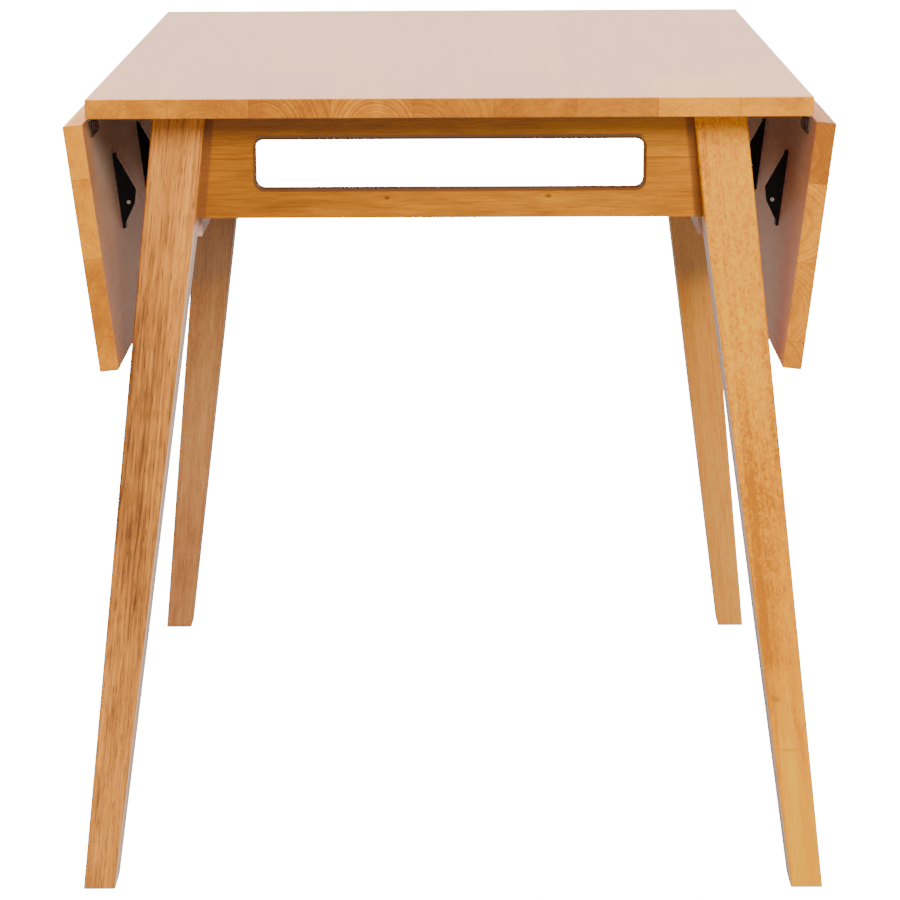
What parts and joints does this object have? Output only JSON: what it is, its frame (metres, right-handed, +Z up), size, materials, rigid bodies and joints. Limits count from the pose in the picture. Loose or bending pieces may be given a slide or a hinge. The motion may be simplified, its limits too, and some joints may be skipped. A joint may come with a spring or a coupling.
{
  "type": "drop-leaf table",
  "caption": "Small wooden dining table with two drop leaves on back-flap hinges, slotted aprons, splayed tapered legs and sliding steel bars that hold the leaves up.",
  "frame": {"origin": "on the floor, under the centre of the table top", "axes": "+Z up; +Y from the front apron to the back apron, along the hinge lines; +X to the right leaf"},
  "size_m": [0.7062, 0.7818, 0.75],
  "materials": {
    "top_wood": "satin clear lacquer over glued rubberwood staves",
    "leaf_wood": "satin clear lacquer over glued rubberwood staves",
    "leg_wood": "satin clear lacquer over solid rubberwood",
    "apron_wood": "satin clear lacquer over finger-jointed rubberwood",
    "rail_wood": "satin clear lacquer over rubberwood",
    "block_wood": "unlacquered rubberwood",
    "black_steel": "satin black powder coat on pressed steel",
    "bar_steel": "satin black lacquer on flat steel bar",
    "zinc_steel": "bright zinc plate"
  },
  "bodies": {
    "frame": {"tabletop_centre": "top_wood", "leg_back_right": "leg_wood", "leg_front_right": "leg_wood", "leg_back_left": "leg_wood", "leg_front_left": "leg_wood", "apron_back": "apron_wood", "apron_front": "apron_wood", "side_rail_right": "rail_wood", "side_rail_left": "rail_wood", "corner_blocks": "block_wood", "hanger_bolts": "zinc_steel", "hanger_washers": "zinc_steel", "hanger_nuts": "zinc_steel", "top_clips": "zinc_steel", "top_clip_screws": "zinc_steel", "hinge_flaps_top_right": "black_steel", "hinge_pins_right": "zinc_steel", "hinge_screws_top_right": "zinc_steel", "bar_guides_right": "black_steel", "bar_guide_screws_right": "zinc_steel", "hinge_flaps_top_left": "black_steel", "hinge_pins_left": "zinc_steel", "hinge_screws_top_left": "zinc_steel", "bar_guides_left": "black_steel", "bar_guide_screws_left": "zinc_steel"},
    "right_leaf": {"leaf_right": "leaf_wood", "hinge_flaps_leaf_right": "black_steel", "hinge_screws_leaf_right": "zinc_steel", "keepers_right": "black_steel", "keeper_pins_right": "zinc_steel", "keeper_screws_right": "zinc_steel"},
    "right_support": {"support_bars_right": "bar_steel", "support_tie_right": "bar_steel", "support_rivets_right": "zinc_steel"},
    "left_leaf": {"leaf_left": "leaf_wood", "hinge_flaps_leaf_left": "black_steel", "hinge_screws_leaf_left": "zinc_steel", "keepers_left": "black_steel", "keeper_pins_left": "zinc_steel", "keeper_screws_left": "zinc_steel"},
    "left_support": {"support_bars_left": "bar_steel", "support_tie_left": "bar_steel", "support_rivets_left": "zinc_steel"}
  },
  "joints": [
    {"name": "leaf_right_hinge", "type": "hinge", "parent": "frame", "child": "right_leaf", "pos_m": [0.326, 0, 0.7287], "axis": [0, -1, 0], "range_deg": [-1.5, 96.2]},
    {"name": "support_right_slide", "type": "slide", "parent": "frame", "child": "right_support", "axis": [1, 0, 0], "range_m": [0, 0.125]},
    {"name": "leaf_left_hinge", "type": "hinge", "parent": "frame", "child": "left_leaf", "pos_m": [-0.326, 0, 0.7287], "axis": [0, 1, 0], "range_deg": [-1.5, 96.2]},
    {"name": "support_left_slide", "type": "slide", "parent": "frame", "child": "left_support", "axis": [-1, 0, 0], "range_m": [0, 0.125]}
  ]
}
